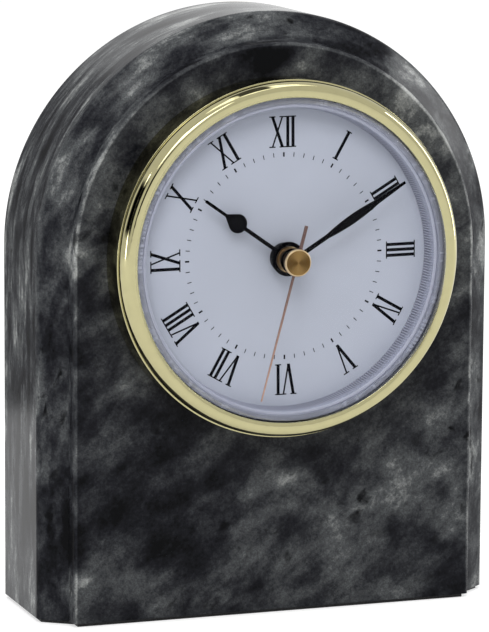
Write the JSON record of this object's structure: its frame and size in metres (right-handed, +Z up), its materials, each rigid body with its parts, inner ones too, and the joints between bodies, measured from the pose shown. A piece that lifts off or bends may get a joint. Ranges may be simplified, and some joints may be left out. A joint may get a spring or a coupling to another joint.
{
  "type": "marble shelf clock",
  "caption": "Round-arched marble shelf clock with a gold-rimmed quartz insert: domed lens, white dial with Roman numerals, three hands, gear train, setting knob and battery.",
  "frame": {"origin": "middle of the bounding box, on the shelf the clock stands on", "axes": "+Z up, -Y towards the viewer along the hands' axis, +X to the viewer's right"},
  "size_m": [0.121, 0.0564, 0.1527],
  "materials": {
    "marble": "polished dark grey marble with pale clouds and veins",
    "felt": "black felt",
    "polished_gold": "polished pale gold plate",
    "clear_lens": "clear",
    "surround": "ribbed pale grey plastic",
    "dial_face": "satin silvery white with black print",
    "cup": "black plastic",
    "rubber": "soft black rubber",
    "movement_black": "moulded black plastic",
    "bridge_plastic": "natural moulded plastic",
    "black_metal": "gloss black paint",
    "iron": "bright rolled",
    "copper_wire": "enamelled copper",
    "board": "green resist",
    "spring_steel": "nickel plated",
    "battery_jacket": "plain printed jacket",
    "gear_nylon": "white nylon",
    "copper_hand": "satin copper",
    "hub_brass": "turned brass",
    "magnet": "moulded magnet"
  },
  "bodies": {
    "case": {"marble_case": "marble", "felt_base_pad": "felt"},
    "insert": {"bezel": "polished_gold", "lens": "clear_lens", "dial_surround": "surround", "dial": "dial_face", "insert_cup": "cup", "grip_band": "rubber", "movement_case": "movement_black", "movement_cover": "movement_black", "gear_bridge": "bridge_plastic", "ring_nut": "black_metal", "coil_core": "iron", "coil_bobbin": "bridge_plastic", "coil_winding": "copper_wire", "stator": "iron", "circuit_board": "board", "crystal_can": "iron", "chip_cap": "movement_black", "plus_contact": "spring_steel", "minus_contact": "spring_steel"},
    "battery": {"battery": "battery_jacket"},
    "seconds": {"second_wheel": "gear_nylon", "second_hand": "copper_hand", "hub_cap": "hub_brass"},
    "fifth": {"fifth_wheel": "gear_nylon"},
    "rotor": {"rotor": "magnet"},
    "third": {"third_wheel": "gear_nylon"},
    "centre": {"centre_wheel": "gear_nylon"},
    "minutes": {"cannon_pinion": "hub_brass", "minute_bush": "hub_brass", "minute_hand": "black_metal"},
    "motion_work": {"minute_wheel": "gear_nylon"},
    "hours": {"hour_wheel": "gear_nylon", "hour_bush": "hub_brass", "hour_hand": "black_metal"},
    "knob": {"setting_knob": "movement_black"}
  },
  "joints": [
    {"name": "insert_slide", "type": "slide", "parent": "case", "child": "insert", "axis": [0, -1, 0], "range_m": [0, 0.025]},
    {"name": "battery_slide", "type": "slide", "parent": "insert", "child": "battery", "axis": [0, 1, 0], "range_m": [0, 0.02]},
    {"name": "second_spin", "type": "hinge", "parent": "insert", "child": "seconds", "pos_m": [0, -0.00975, 0.0922], "axis": [0, 1, 0], "continuous": true},
    {"name": "fifth_spin", "type": "hinge", "parent": "insert", "child": "fifth", "pos_m": [0.00909, -0.00975, 0.09745], "axis": [0, 1, 0], "continuous": true},
    {"name": "rotor_spin", "type": "hinge", "parent": "insert", "child": "rotor", "pos_m": [0.01449, -0.00975, 0.1068], "axis": [0, 1, 0], "continuous": true},
    {"name": "third_spin", "type": "hinge", "parent": "insert", "child": "third", "pos_m": [-0.00877, -0.00975, 0.0974], "axis": [0, 1, 0], "continuous": true},
    {"name": "centre_spin", "type": "hinge", "parent": "insert", "child": "centre", "pos_m": [0, -0.00975, 0.0922], "axis": [0, 1, 0], "continuous": true},
    {"name": "minute_spin", "type": "hinge", "parent": "insert", "child": "minutes", "pos_m": [0, -0.00975, 0.0922], "axis": [0, 1, 0], "continuous": true},
    {"name": "motion_work_spin", "type": "hinge", "parent": "insert", "child": "motion_work", "pos_m": [-0.00789, -0.00975, 0.08933], "axis": [0, 1, 0], "continuous": true},
    {"name": "hour_spin", "type": "hinge", "parent": "insert", "child": "hours", "pos_m": [0, -0.00975, 0.0922], "axis": [0, 1, 0], "continuous": true},
    {"name": "knob_spin", "type": "hinge", "parent": "insert", "child": "knob", "pos_m": [-0.01629, -0.00975, 0.08933], "axis": [0, 1, 0], "continuous": true}
  ],
  "couplings": [
    {"joint": "fifth_spin", "follows": "second_spin", "ratio": -6},
    {"joint": "rotor_spin", "follows": "second_spin", "ratio": 30},
    {"joint": "third_spin", "follows": "second_spin", "ratio": -0.13333},
    {"joint": "centre_spin", "follows": "second_spin", "ratio": 0.016667},
    {"joint": "motion_work_spin", "follows": "minute_spin", "ratio": -0.33333},
    {"joint": "hour_spin", "follows": "minute_spin", "ratio": 0.083333},
    {"joint": "knob_spin", "follows": "minute_spin", "ratio": 1}
  ]
}
